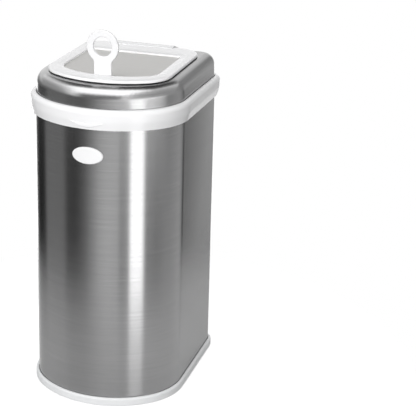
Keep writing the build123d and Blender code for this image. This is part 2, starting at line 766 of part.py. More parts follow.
def deck_z(y, height):
    """The height above the floor of a point on the dome's top, raised by height."""
    return DECK_HEIGHT + y * sin(radians(DECK_SLOPE)) + height


# Small screws from below, through the backing and the panel into the frame.
flap_half_width, flap_front, flap_rear, flap_bow = FLAP_INNER[:4]
FLAP_SCREW_IN = 2.0
FLAP_SCREW_RADIUS = 1.1
FLAP_SCREW_GRIP = 2.0
FLAP_SCREW_X = 32.0
bow_screw_y = flap_front + flap_bow - sqrt((flap_bow + FLAP_SCREW_IN) ** 2 - FLAP_SCREW_X**2)
flap_screw_points = [
    (side * x, y)
    for side in (-1, 1)
    for x, y in (
        (FLAP_SCREW_X, bow_screw_y),
        (flap_half_width + FLAP_SCREW_IN, 0.0),
        (flap_half_width + FLAP_SCREW_IN, 50.0),
        (FLAP_SCREW_X, flap_rear + FLAP_SCREW_IN),
    )
]

backing_top = PANEL_TOP - PANEL_THICK
backing_bottom = backing_top - BACKING_THICK

with BuildPart() as flap_screws:
    with BuildSketch(deck.offset(backing_bottom)):
        with Locations(*flap_screw_points):
            Circle(FLAP_SCREW_RADIUS)
    extrude(amount=PANEL_TOP - backing_bottom + FLAP_SCREW_GRIP)
finish(flap_screws.part, "flap_screws")

# Screws from below, through the hinge block's tongue into the frame.
BLOCK_SCREW_Y = 101.5
BLOCK_SCREW_SPACING = 26.0
BLOCK_SCREW_RADIUS = 1.5
BLOCK_SCREW_LENGTH = 13.0
BLOCK_SCREW_HEAD = 1.4
TONGUE_BOTTOM = 488.0
TONGUE_FRONT = 96.5


def block_screw_circles(radius):
    """Adds circles at the block's four screws."""
    with Locations((0, BLOCK_SCREW_Y)):
        with GridLocations(BLOCK_SCREW_SPACING, 0, 4, 1):
            Circle(radius)


with BuildPart() as block_screws:
    with BuildSketch(Plane.XY.offset(TONGUE_BOTTOM)):
        block_screw_circles(BLOCK_SCREW_RADIUS)
    extrude(amount=BLOCK_SCREW_LENGTH)
    with BuildSketch(Plane.XY.offset(TONGUE_BOTTOM)):
        block_screw_circles(2 * BLOCK_SCREW_RADIUS)
    extrude(amount=-BLOCK_SCREW_HEAD)
finish(block_screws.part, "block_screws")

# White frame, crowned along its rails, with a rebate below for the panel and a groove for
# the seal.
REBATE_FIT = 0.1
SEAL_GROOVE = 1.0
SEAL_PROUD = 0.4
SEAL_SIDE_FIT = 0.2
SEAL_WIDER = 1.8
deck_up = Axis(deck.origin, deck.z_dir)

with BuildPart() as flap_frame:
    with BuildSketch(deck.offset(FRAME_LIFT)):
        bowed_face(*FLAP_OUTER)
    extrude(amount=FRAME_THICK)
    top = flap_frame.faces().sort_by(deck_up)[-1]
    chamfer(top.edges(), length=CROWN_SLOPE, length2=CROWN_DROP, reference=top)
    fillet(
        flap_frame.edges().filter_by(
            lambda e: abs(deck.to_local_coords(e @ 0.5).Z - FRAME_LIFT - FRAME_THICK + CROWN_DROP)
            < 0.01
        ),
        radius=FRAME_EDGE,
    )
    with BuildSketch(deck.offset(FRAME_LIFT)):
        flap_plan(0)
    extrude(amount=FRAME_THICK, mode=Mode.SUBTRACT)
    top = flap_frame.faces().sort_by(deck_up)[-1]
    chamfer(top.inner_wires()[0].edges(), length=CROWN_SLOPE, length2=CROWN_DROP, reference=top)
    with BuildSketch(deck.offset(FRAME_LIFT)):
        flap_plan(PANEL_LAP + REBATE_FIT)
    extrude(amount=PANEL_TOP - FRAME_LIFT, mode=Mode.SUBTRACT)
    with BuildSketch(deck.offset(FRAME_LIFT)):
        flap_ring(CHUTE_GAP + CHUTE_WALL + SEAL_WIDER + SEAL_SIDE_FIT, CHUTE_GAP - 2 * SEAL_SIDE_FIT)
    extrude(amount=SEAL_GROOVE, mode=Mode.SUBTRACT)
    add(flap_screws.part, mode=Mode.SUBTRACT)
    add(block_screws.part, mode=Mode.SUBTRACT)
finish(flap_frame.part, "flap_frame")

# Brushed steel panel, let into the frame from below, slotted for the handle's tenon.
TENON_WIDTH = 22.0
TENON_THICK = 4.0

with BuildPart() as flap_panel:
    with BuildSketch(deck.offset(PANEL_TOP - PANEL_THICK)):
        flap_plan(PANEL_LAP)
        with Locations((0, RING_Y)):
            Rectangle(TENON_WIDTH, TENON_THICK, mode=Mode.SUBTRACT)
    extrude(amount=PANEL_THICK)
    add(flap_screws.part, mode=Mode.SUBTRACT)
finish(flap_panel.part, "flap_panel")

# Backing: closes the flap from below, with a skirt that drops into the chute.
SKIRT_OUT = 1.2
SKIRT_WALL = 2.0
SKIRT_DROP = 6.5
SKIRT_BREAK = (30.0, 16.0)

with BuildPart() as flap_backing:
    with BuildSketch(deck.offset(backing_bottom)):
        flap_plan(PANEL_LAP)
        with Locations((0, RING_Y)):
            Rectangle(TENON_WIDTH, TENON_THICK, mode=Mode.SUBTRACT)
    extrude(amount=BACKING_THICK)
    with BuildSketch(deck.offset(-SKIRT_DROP)):
        flap_ring(SKIRT_OUT, SKIRT_OUT - SKIRT_WALL)
        with Locations((0, RING_Y)):
            Rectangle(*SKIRT_BREAK, mode=Mode.SUBTRACT)
    extrude(amount=SKIRT_DROP + backing_top)
    add(flap_screws.part, mode=Mode.SUBTRACT)
finish(flap_backing.part, "flap_backing")

# Rubber seal in the frame's groove, just above the chute's lip.
with BuildPart() as flap_seal:
    with BuildSketch(deck.offset(FRAME_LIFT - SEAL_PROUD)):
        flap_ring(CHUTE_GAP + CHUTE_WALL + SEAL_WIDER, CHUTE_GAP - SEAL_SIDE_FIT)
    extrude(amount=SEAL_GROOVE + SEAL_PROUD)
finish(flap_seal.part, "flap_seal")

# Two screws from below that pull the handle's foot down on the panel.
HANDLE_SCREW_X = 7.0
HANDLE_SCREW_RADIUS = 1.25
HANDLE_SCREW_LENGTH = 14.0
HANDLE_HEAD_RADIUS = 3.2
HANDLE_HEAD_HEIGHT = 1.6

with BuildPart() as handle_screws:
    with BuildSketch(deck.offset(backing_bottom)):
        with Locations((-HANDLE_SCREW_X, RING_Y), (HANDLE_SCREW_X, RING_Y)):
            Circle(HANDLE_SCREW_RADIUS)
    extrude(amount=HANDLE_SCREW_LENGTH)
    with BuildSketch(deck.offset(backing_bottom)):
        with Locations((-HANDLE_SCREW_X, RING_Y), (HANDLE_SCREW_X, RING_Y)):
            Circle(HANDLE_HEAD_RADIUS)
    extrude(amount=-HANDLE_HEAD_HEIGHT)
finish(handle_screws.part, "handle_screws")

# Ring handle: a flat ring on a stem that stands on the panel just behind the frame.
ring_plane = Plane(
    origin=deck.from_local_coords(Vector(0, RING_Y, 0)),
    x_dir=(1, 0, 0),
    z_dir=-deck.y_dir,
)
NECK_RADIUS = 9.0
NECK_ZONE = 5.0
RING_EDGE = 1.8
FOOT_ZONE = 1.0

with BuildPart() as ring_handle:
    with BuildSketch(ring_plane) as ring_face:
        with Locations((0, RING_CENTRE)):
            Circle(RING_RADIUS)
        with Locations((0, (PANEL_TOP + RING_CENTRE) / 2)):
            Rectangle(STEM_WIDTH, RING_CENTRE - PANEL_TOP)
        neck_points = ring_face.vertices().filter_by(
            lambda v: PANEL_TOP + NECK_ZONE < v.Y < RING_CENTRE - NECK_ZONE and abs(v.X) > NECK_ZONE
        )
        fillet(neck_points, radius=NECK_RADIUS)
        with Locations((0, RING_CENTRE)):
            Circle(RING_HOLE, mode=Mode.SUBTRACT)
    extrude(amount=RING_THICK / 2, both=True)
    rounded_edges = ring_handle.edges().filter_by(
        lambda e: deck.to_local_coords(e @ 0.5).Z > PANEL_TOP + FOOT_ZONE
        and abs(deck.to_local_coords(e @ 0.5).Y - RING_Y) > FOOT_ZONE
    )
    fillet(rounded_edges, radius=RING_EDGE)
    with BuildSketch(deck.offset(PANEL_TOP)):
        with Locations((0, RING_Y)):
            Rectangle(TENON_WIDTH, TENON_THICK)
    extrude(amount=backing_bottom - PANEL_TOP)
    add(handle_screws.part, mode=Mode.SUBTRACT)
finish(ring_handle.part, "ring_handle")

# Hinge block: grips the frame's rear edge, above and below, and ends behind the lid in a
# rounded nose that turns on the pin.
GRIP_FRONT = 91.0
GRIP_FIT = 0.05
GRIP_THICK = 0.9
CREST_FRONT = (99.0, 504.9)
CREST = (107.5, 504.5)
NOSE_CENTRE = (140.5, 482.5)
NOSE_RADIUS = 9.0
NOSE_SLOPE = 20.8
TONGUE_REAR = (111.0, 488.0)
HEEL_FRONT = (118.0, 474.0)
HEEL_REAR = (131.5, 475.0)
GRIP_GAP = 0.3
frame_rear = FLAP_OUTER[2] + GRIP_GAP
grip_under = FRAME_LIFT + FRAME_THICK + GRIP_FIT
nose_top = (
    NOSE_CENTRE[0] + NOSE_RADIUS * sin(radians(NOSE_SLOPE)),
    NOSE_CENTRE[1] + NOSE_RADIUS * cos(radians(NOSE_SLOPE)),
)

with BuildPart() as hinge_block:
    with BuildSketch(Plane.YZ):
        Polygon(
            (TONGUE_FRONT, TONGUE_BOTTOM),
            (TONGUE_FRONT, deck_z(TONGUE_FRONT, FRAME_LIFT)),
            (frame_rear, deck_z(frame_rear, FRAME_LIFT)),
            (frame_rear, deck_z(frame_rear, grip_under)),
            (GRIP_FRONT, deck_z(GRIP_FRONT, grip_under)),
            (GRIP_FRONT + GRIP_THICK / 2, deck_z(GRIP_FRONT, grip_under + GRIP_THICK)),
            CREST_FRONT,
            CREST,
            nose_top,
            NOSE_CENTRE,
            HEEL_REAR,
            HEEL_FRONT,
            TONGUE_REAR,
            align=None,
        )
        Polygon(
            NOSE_CENTRE,
            (NOSE_CENTRE[0], NOSE_CENTRE[1] - NOSE_RADIUS),
            HEEL_REAR,
            align=None,
        )
        with Locations(NOSE_CENTRE):
            Circle(NOSE_RADIUS)
    extrude(amount=BLOCK_HALF, both=True)
    with BuildSketch(flap_pin_line):
        Circle(FLAP_PIN_RADIUS + RUNNING_FIT)
    extrude(amount=NOTCH_HALF, both=True, mode=Mode.SUBTRACT)
    add(block_screws.part, mode=Mode.SUBTRACT)
finish(hinge_block.part, "hinge_block")

# ---- Scoop -----------------------------------------------------------------------------

SCOOP_CORNER = 10.0
RIM_SHOULDER = 46.0
FACE_SHOULDER = 40.0
FACE_DROP = 16.0
HANDLE_ROOT = 12.0
HANDLE_TIP_FLAT = 0.5
HANDLE_EDGE = 3.0
HANG_HOLE = (12.0, 6.2)
HANG_HOLE_DROP = 2.2
SLOT_BOTTOM = 120.0
SLOT_ARC = 50.0
SLOT_ARC_CENTRE = 188.0
MOUTH_RISE = 86.0
MOUTH_BELOW = 5.0
MOUTH_EDGE_RISE = 8.0


def scoop_outline(half_width, bottom, top, shoulder):
    """Adds the basket's outline: round shoulders at the handle, small corners at the edge."""
    low = SCOOP_CORNER
    with BuildLine() as outline:
        Line((-half_width + low, bottom), (half_width - low, bottom))
        Line((-half_width + shoulder, top), (half_width - shoulder, top))
        for side in (-1, 1):
            Line((side * half_width, bottom + low), (side * half_width, top - shoulder))
            ThreePointArc(
                (side * (half_width - low), bottom),
                (side * (half_width - low * CORNER_MIDDLE), bottom + low * CORNER_MIDDLE),
                (side * half_width, bottom + low),
            )
            ThreePointArc(
                (side * half_width, top - shoulder),
                (side * (half_width - shoulder * CORNER_MIDDLE), top - shoulder * CORNER_MIDDLE),
                (side * (half_width - shoulder), top),
            )
    make_face(outline.edges())


def basket_form(inset):
    """The basket's outer form, or with an inset the hollow inside it."""
    rim_y = SCOOP_BACK - (CUT_PAST if inset else 0.0)
    with BuildPart() as form:
        with BuildSketch(Plane.XZ.offset(-rim_y)):
            scoop_outline(
                BASKET_RIM_HALF - inset,
                BASKET_BOTTOM + inset,
                BASKET_TOP - inset,
                RIM_SHOULDER,
            )
        with BuildSketch(Plane.XZ.offset(-BASKET_FACE + inset)):
            scoop_outline(
                BASKET_FACE_HALF - inset,
                BASKET_BOTTOM + inset,
                BASKET_TOP - FACE_DROP - inset,
                FACE_SHOULDER,
            )
        loft()
    return form.part


basket_outside = basket_form(0.0)
basket_inside = basket_form(SCOOP_WALL)
peg_at_handle = PEG_ROOT + (HANDLE_FACE - SCOOP_WALL / 2 - BACK - BRACKET_THICK) / sqrt(3)

with BuildPart() as scoop:
    with BuildSketch(Plane.XZ.offset(-SCOOP_BACK)):
        with Locations((0, (HANDLE_TOP + BASKET_TOP - HANDLE_ROOT) / 2)):
            Rectangle(HANDLE_WIDTH, HANDLE_TOP - BASKET_TOP + HANDLE_ROOT)
    extrude(amount=SCOOP_BACK - HANDLE_FACE)
    fillet(
        scoop.edges().filter_by(Axis.Y).group_by(Axis.Z)[-1],
        radius=HANDLE_WIDTH / 2 - HANDLE_TIP_FLAT,
    )
    fillet(
        scoop.faces().sort_by(Axis.Y)[-1].edges().filter_by(lambda e: (e @ 0.5).Z > BASKET_TOP),
        radius=HANDLE_EDGE,
    )
    add(basket_outside)
    add(basket_inside, mode=Mode.SUBTRACT)
    with BuildSketch(Plane.XZ.offset(-SCOOP_BACK)):
        with Locations((0, (HANDLE_TOP + BASKET_TOP) / 2)):
            SlotOverall(
                HANDLE_TOP - BASKET_TOP - 2 * SCOOP_WALL,
                HANDLE_WIDTH - 2 * SCOOP_WALL,
                rotation=90,
            )
    extrude(amount=SCOOP_BACK - HANDLE_FACE + SCOOP_WALL, mode=Mode.SUBTRACT)
    with BuildSketch(Plane.XZ.offset(-HANDLE_FACE - CUT_PAST)):
        with Locations((0, peg_at_handle - HANG_HOLE_DROP)):
            SlotOverall(*HANG_HOLE, rotation=90)
    extrude(amount=SCOOP_WALL + 2 * CUT_PAST, mode=Mode.SUBTRACT)
    with BuildSketch(Plane.XZ.offset(-BASKET_FACE - CUT_PAST)):
        for index in range(SLOT_COUNT):
            slot_x = (index - (SLOT_COUNT - 1) / 2) * SLOT_PITCH
            slot_top = SLOT_ARC_CENTRE + sqrt(SLOT_ARC**2 - slot_x**2)
            with Locations((slot_x, (slot_top + SLOT_BOTTOM) / 2)):
                SlotOverall(slot_top - SLOT_BOTTOM, SLOT_WIDTH, rotation=90)
    extrude(amount=SCOOP_WALL + 2 * CUT_PAST, mode=Mode.SUBTRACT)
    with BuildSketch(Plane.YZ):
        Polygon(
            (SCOOP_BACK - 2 * CUT_PAST, BASKET_BOTTOM + MOUTH_RISE),
            (SCOOP_BACK - 2 * CUT_PAST, BASKET_BOTTOM - MOUTH_BELOW),
            (BASKET_FACE - SCOOP_WALL, BASKET_BOTTOM - MOUTH_BELOW),
            (BASKET_FACE - SCOOP_WALL, BASKET_BOTTOM + MOUTH_EDGE_RISE),
            align=None,
        )
    extrude(amount=BODY_WIDTH, both=True, mode=Mode.SUBTRACT)
finish(scoop.part, "scoop")
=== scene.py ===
import json
import math

import bmesh
import bpy
from mathutils import Matrix, Vector


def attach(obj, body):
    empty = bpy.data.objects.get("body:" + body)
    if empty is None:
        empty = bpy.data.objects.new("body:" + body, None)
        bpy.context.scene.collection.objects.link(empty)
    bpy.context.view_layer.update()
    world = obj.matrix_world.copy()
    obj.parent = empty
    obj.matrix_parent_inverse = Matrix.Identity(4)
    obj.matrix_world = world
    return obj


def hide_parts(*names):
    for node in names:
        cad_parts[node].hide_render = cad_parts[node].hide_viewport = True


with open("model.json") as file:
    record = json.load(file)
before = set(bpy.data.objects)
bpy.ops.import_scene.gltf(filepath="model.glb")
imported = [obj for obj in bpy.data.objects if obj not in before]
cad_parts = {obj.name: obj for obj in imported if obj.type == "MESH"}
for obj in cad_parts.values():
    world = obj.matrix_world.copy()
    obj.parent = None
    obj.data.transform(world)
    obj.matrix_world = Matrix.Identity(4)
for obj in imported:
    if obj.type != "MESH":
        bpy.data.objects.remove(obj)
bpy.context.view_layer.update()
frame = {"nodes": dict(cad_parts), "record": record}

MM = 0.001

# ---- Camera ----------------------------------------------------------------------------

# The viewpoint of the photograph, worked out from the outline of the object: angles in
# degrees, the place in metres, the lens and its sensor in millimetres.
CAMERA_AZIMUTH = 15.95
CAMERA_ELEVATION = 20.47
CAMERA_ROLL = 1.86
CAMERA_PLACE = Vector((0.62017, -1.68019, 0.93947))
CAMERA_LENS = 107.03
CAMERA_SENSOR = 36.0


def make_camera():
    """The camera stands where the photograph's perspective puts it, rolled a little."""
    azimuth, elevation = math.radians(CAMERA_AZIMUTH), math.radians(CAMERA_ELEVATION)
    roll = math.radians(CAMERA_ROLL)
    ahead = Vector((
        -math.sin(azimuth) * math.cos(elevation),
        math.cos(azimuth) * math.cos(elevation),
        -math.sin(elevation),
    ))
    right = ahead.cross(Vector((0, 0, 1))).normalized()
    up = right.cross(ahead)
    turned_right = right * math.cos(roll) + up * math.sin(roll)
    turned_up = up * math.cos(roll) - right * math.sin(roll)
    data = bpy.data.cameras.new("camera")
    data.lens = CAMERA_LENS
    data.sensor_width = CAMERA_SENSOR
    camera = bpy.data.objects.new("camera", data)
    bpy.context.scene.collection.objects.link(camera)
    camera.matrix_world = Matrix.Translation(CAMERA_PLACE) @ Matrix(
        (turned_right, turned_up, -ahead)
    ).transposed().to_4x4()
    bpy.context.scene.camera = camera


# ---- Node helpers ----------------------------------------------------------------------


def linear(code):
    """An sRGB hex colour as linear RGBA."""
    parts = [int(code[i:i + 2], 16) / 255 for i in (0, 2, 4)]
    return [c / 12.92 if c <= 0.04045 else ((c + 0.055) / 1.055) ** 2.4 for c in parts] + [1.0]


def node(tree, kind, settings=None, **inputs):
    """Adds a node; settings are its own properties, inputs its sockets' values or links. A
    socket is named by its name, with _ for a blank, or by its number, as i0, i1 and so on."""
    made = tree.nodes.new(kind)
    for name, value in (settings or {}).items():
        setattr(made, name, value)
    for name, value in inputs.items():
        key = int(name[1:]) if name[1:].isdigit() and name[0] == "i" else name.replace("_", " ")
        socket = made.inputs[key]
        if isinstance(value, bpy.types.NodeSocket):
            tree.links.new(value, socket)
        else:
            socket.default_value = value
    return made


def new_material(name):
    """An empty node material and its tree."""
    material = bpy.data.materials.new(name)
    material.use_nodes = True
    material.node_tree.nodes.clear()
    return material, material.node_tree


def ramp(tree, factor, stops):
    """A colour ramp with (position, grey level) stops."""
    made = node(tree, "ShaderNodeValToRGB", i0=factor)
    elements = made.color_ramp.elements
    while len(elements) < len(stops):
        elements.new(0.5)
    for element, (place, level) in zip(elements, stops):
        element.position = place
        element.color = (level, level, level, 1.0)
    return made.outputs["Color"]


def scaled_noise(tree, scale, size_mm, detail=2.0, roughness=0.5):
    """Noise on object coordinates that are scaled by axis, its cell size_mm long at 1."""
    place = node(tree, "ShaderNodeTexCoord").outputs["Object"]
    stretched = node(tree, "ShaderNodeMapping", i0=place, Scale=scale).outputs["Vector"]
    noise = node(
        tree, "ShaderNodeTexNoise", Vector=stretched, Scale=1.0 / (size_mm * MM),
        Detail=detail, Roughness=roughness,
    )
    return noise.outputs["Fac"]


# ---- Materials -------------------------------------------------------------------------

# Noise keeps mostly between these two levels, so what follows it is mapped from them.
NOISE_LOW, NOISE_HIGH = 0.3, 0.7

# Brushed sheet. Scratches are about 0.05 mm apart; they are drawn 0.5 mm apart so that they
# show. Broader bands are where the belt pressed a little more or less.
SCRATCH_MM = 0.5
BELT_BAND_MM = 5.0
BELT_BAND_SHARE = 0.15
SCRATCH_STRETCH = 0.006
SCRATCH_ROUGHNESS = 0.008
SCRATCH_ANISOTROPY = 0.8
ACROSS_THE_TANGENT = 0.25

# Moulded plastic: the skin's depth, and the slow change of gloss that the mould leaves.
PEEL_DEPTH_MM = 0.03
GLOSS_CLOUD_MM = 60.0
GLOSS_CLOUD_ROUGHNESS = 0.03
PLASTIC_IOR = 1.53

# Zinc plate and rubber, by the size of their clouds and grains.
PLATING_CLOUD_MM = 3.0
PLATING_ROUGHNESS = (0.22, 0.38)
RUBBER_GRAIN_MM = 0.6
RUBBER_GRAIN_DEPTH_MM = 0.05
RUBBER_GRAIN_STRENGTH = 0.3
RUBBER_ROUGHNESS = 0.75


def spread(tree, noise, lowest, highest):
    """A level that follows noise from lowest to highest."""
    return node(
        tree, "ShaderNodeMapRange", Value=noise, From_Min=NOISE_LOW, From_Max=NOISE_HIGH,
        To_Min=lowest, To_Max=highest,
    ).outputs["Result"]


def brushed_steel(name, dark, pale, roughness, grain_axis, around):
    """Stainless sheet brushed with a belt: fine scratches run one way, and they draw
    reflections out across themselves, while along them the reflections stay crisp. They run
    around the upright axis, or else straight across."""
    material, tree = new_material(name)
    scale = [1.0, 1.0, 1.0]
    for axis in grain_axis:
        scale["XYZ".index(axis)] = SCRATCH_STRETCH
    fine = scaled_noise(tree, scale, SCRATCH_MM, 3.0, 0.6)
    broad = scaled_noise(tree, scale, BELT_BAND_MM)
    streak = node(
        tree, "ShaderNodeMix", {"data_type": "FLOAT"}, i0=BELT_BAND_SHARE, i2=fine, i3=broad
    ).outputs[0]
    tone = node(tree, "ShaderNodeValToRGB", i0=streak)
    low, high = tone.color_ramp.elements
    low.position, high.position = NOISE_LOW, NOISE_HIGH
    low.color, high.color = linear(dark), linear(pale)
    rough = spread(tree, fine, roughness - SCRATCH_ROUGHNESS, roughness + SCRATCH_ROUGHNESS)
    if around:
        run = node(tree, "ShaderNodeTangent", {"direction_type": "RADIAL", "axis": "Z"})
    else:
        turn = {"vector_type": "VECTOR", "convert_from": "OBJECT", "convert_to": "WORLD"}
        run = node(tree, "ShaderNodeVectorTransform", turn, Vector=(1.0, 0.0, 0.0))
    shader = node(
        tree, "ShaderNodeBsdfPrincipled", Base_Color=tone.outputs["Color"], Metallic=1.0,
        Roughness=rough, Anisotropic=SCRATCH_ANISOTROPY,
        Anisotropic_Rotation=ACROSS_THE_TANGENT, Tangent=run.outputs[0],
    )
    node(tree, "ShaderNodeOutputMaterial", i0=shader.outputs["BSDF"])
    return material


def moulded_plastic(name, colour, roughness, pebble_mm, pebble_strength):
    """Injection-moulded plastic: an even colour under a faint orange-peel skin."""
    material, tree = new_material(name)
    peel = scaled_noise(tree, (1, 1, 1), pebble_mm)
    cloud = scaled_noise(tree, (1, 1, 1), GLOSS_CLOUD_MM)
    rough = spread(
        tree, cloud, roughness - GLOSS_CLOUD_ROUGHNESS, roughness + GLOSS_CLOUD_ROUGHNESS
    )
    bump = node(
        tree, "ShaderNodeBump", Strength=pebble_strength, Distance=PEEL_DEPTH_MM * MM,
        Height=peel,
    )
    shader = node(
        tree, "ShaderNodeBsdfPrincipled", Base_Color=linear(colour), IOR=PLASTIC_IOR,
        Roughness=rough, Normal=bump.outputs["Normal"],
    )
    node(tree, "ShaderNodeOutputMaterial", i0=shader.outputs["BSDF"])
    return material


def zinc_plated_steel():
    """Screws, pins and plates: bright zinc plate, slightly clouded by the plating bath."""
    material, tree = new_material("zinc_plated_steel")
    cloud = scaled_noise(tree, (1, 1, 1), PLATING_CLOUD_MM, 3.0)
    tone = node(tree, "ShaderNodeValToRGB", i0=cloud)
    low, high = tone.color_ramp.elements
    low.color, high.color = linear("A9AAAD"), linear("C9CACC")
    shader = node(
        tree, "ShaderNodeBsdfPrincipled", Base_Color=tone.outputs["Color"], Metallic=1.0,
        Roughness=spread(tree, cloud, *PLATING_ROUGHNESS),
    )
    node(tree, "ShaderNodeOutputMaterial", i0=shader.outputs["BSDF"])
    return material


def epdm_rubber():
    """Feet and seals: black EPDM rubber, matt with a fine moulded grain."""
    material, tree = new_material("epdm_rubber")
    grain = scaled_noise(tree, (1, 1, 1), RUBBER_GRAIN_MM)
    bump = node(
        tree, "ShaderNodeBump", Strength=RUBBER_GRAIN_STRENGTH,
        Distance=RUBBER_GRAIN_DEPTH_MM * MM, Height=grain,
    )
    shader = node(
        tree, "ShaderNodeBsdfPrincipled", Base_Color=linear("1C1C1D"),
        Roughness=RUBBER_ROUGHNESS, Normal=bump.outputs["Normal"],
    )
    node(tree, "ShaderNodeOutputMaterial", i0=shader.outputs["BSDF"])
    return material


# Mid grey, scratched round the body, so that each lamp draws out into an upright bar.
steel_round = brushed_steel("brushed_stainless_round", "9F9FA0", "AFAFAF", 0.22, "XY", True)
# Paler and duller, scratched straight across: an even sheet of grey.
steel_panel = brushed_steel("satin_stainless_across", "D9D8D6", "DDDCDA", 0.38, "X", False)
# A clean white with crisp, faintly rippled highlights.
glossy_abs = moulded_plastic("glossy_white_abs", "F0F0F1", 0.22, 1.6, 0.10)
# A duller, slightly greyer white with wide soft highlights.
satin_polypropylene = moulded_plastic("satin_white_polypropylene", "E6E7E8", 0.42, 0.8, 0.20)
zinc = zinc_plated_steel()
rubber = epdm_rubber()

# ---- Pieces ----------------------------------------------------------------------------

BODY_OF = {n: b for b, members in frame["record"]["behaviour"]["bodies"].items() for n in members}
SLOT_OF = {s["node"]: s["material_slot"] for s in frame["record"]["subparts"]}

# Edges that turn by more than this stay sharp. Points closer than the first distance, in
# metres, are one point, and edges shorter than the second are none.
SHARP_DEGREES = 30.0
MERGE_REACH, SHORTEST_EDGE = 1e-6, 1e-7


def smooth_copy(name, new_name, material):
    """A merged copy of a CAD node, shaded smooth between its sharp edges."""
    mesh = frame["nodes"][name].data.copy()
    mesh.name = new_name
    mesh.materials.clear()
    mesh.materials.append(material)
    made = bpy.data.objects.new(new_name, mesh)
    bpy.context.scene.collection.objects.link(made)
    shade_smooth(made)
    if name == "body_shell":
        smooth_shell(made.data)
    stand_in(made, name)


def shade_smooth(made):
    """Merges a mesh's doubled points and shades it smooth between its sharp edges."""
    form = bmesh.new()
    form.from_mesh(made.data)
    bmesh.ops.remove_doubles(form, verts=form.verts, dist=MERGE_REACH)
    bmesh.ops.dissolve_degenerate(form, edges=form.edges, dist=SHORTEST_EDGE)
    for edge in form.edges:
        edge.smooth = not (
            len(edge.link_faces) == 2 and edge.calc_face_angle(0) > math.radians(SHARP_DEGREES)
        )
    for face in form.faces:
        face.smooth = True
    form.to_mesh(made.data)
    form.free()
    weighted = made.modifiers.new("weighted", "WEIGHTED_NORMAL")
    weighted.keep_sharp = True
    weighted.weight = 100
    keep_result(made)


def keep_result(made):
    """Turns what an object's modifiers give into its plain mesh."""
    evaluated = made.evaluated_get(bpy.context.evaluated_depsgraph_get())
    mesh = bpy.data.meshes.new_from_object(evaluated)
    mesh.name = made.name
    made.modifiers.clear()
    made.data = mesh


def stand_in(made, name):
    """Lets an object take a CAD node's place: hides the node and sets the object on its body."""
    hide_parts(name)
    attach(made, BODY_OF[name])


# The body's plan, in millimetres: a bow at the front, round corners, and sides that draw in
# towards the top.
BOW_CENTRE_Y = -6.17
FRONT_CORNER_CENTRE = (28.5, -39.47)
REAR_CORNER_CENTRE = (87.0, 108.5)
DRAW_IN, SHELL_BOTTOM, SHELL_HEIGHT = 2.0, 5.0, 433.0
BACK_FLAT_Y = 134.0
# A face that turns from the rule by less than this cosine's angle is part of the wall.
WALL_LIKENESS = 0.9


def shell_normal(place):
    """The way the body's wall faces at a place on it, from the rule of its plan."""
    across, back, up = (c / MM for c in place)
    inward = DRAW_IN * (up - SHELL_BOTTOM) / SHELL_HEIGHT
    out, side = abs(across), math.copysign(1.0, across)
    front_x, front_y = FRONT_CORNER_CENTRE[0] - inward, FRONT_CORNER_CENTRE[1]
    rear_x, rear_y = REAR_CORNER_CENTRE[0] - inward, REAR_CORNER_CENTRE[1]
    if back > rear_y and out > rear_x:
        wall = Vector((out - rear_x, back - rear_y, 0))
    elif back > BACK_FLAT_Y:
        wall = Vector((0, 1, 0))
    elif back > front_y:
        wall = Vector((1, 0, 0))
    elif out * (BOW_CENTRE_Y - front_y) > front_x * (BOW_CENTRE_Y - back):
        wall = Vector((out - front_x, back - front_y, 0))
    else:
        wall = Vector((out, back - BOW_CENTRE_Y, 0))
    wall.normalize()
    wall.z = wall.x * DRAW_IN / SHELL_HEIGHT
    wall.x *= side
    return wall.normalized()


def smooth_shell(mesh):
    """Sets the shell's normals from its rule, so that its long reflections run straight."""
    normals = [None] * len(mesh.loops)
    for face in mesh.polygons:
        for loop in face.loop_indices:
            wall = shell_normal(mesh.vertices[mesh.loops[loop].vertex_index].co)
            likeness = wall.dot(face.normal)
            if abs(likeness) > WALL_LIKENESS:
                normals[loop] = wall * math.copysign(1.0, likeness)
            else:
                normals[loop] = face.normal
    mesh.normals_split_custom_set(normals)


# What each material slot of the part is made of, and the two pieces that differ from theirs.
FINISHES = {
    "white_shell": glossy_abs,
    "white_satin": satin_polypropylene,
    "brushed_steel": steel_round,
    "plain_steel": zinc,
    "rubber": rubber,
}
OWN_FINISHES = {"flap_panel": steel_panel, "base_tray": satin_polypropylene}

# Bracket screws, in millimetres: domed heads with a cross recess, on a grid of two by two.
SCREW_SIZES = {
    "Head radius": 4.2, "Head height": 2.4, "Head edge": 1.8, "Recess length": 4.0,
    "Recess width": 0.9, "Recess depth": 1.0, "Shank radius": 2.0, "Shank length": 12.0,
    "Spacing across": 74.0, "Spacing up": 28.0,
}
SCREW_PLACE = (0.0, 139.5, 403.0)
HEAD_SIDES, HEAD_RINGS, SHANK_SIDES = 40, 10, 24
# The share of the head's rings that make its short straight rim; the rest round its edge.
STRAIGHT_SHARE = 0.1


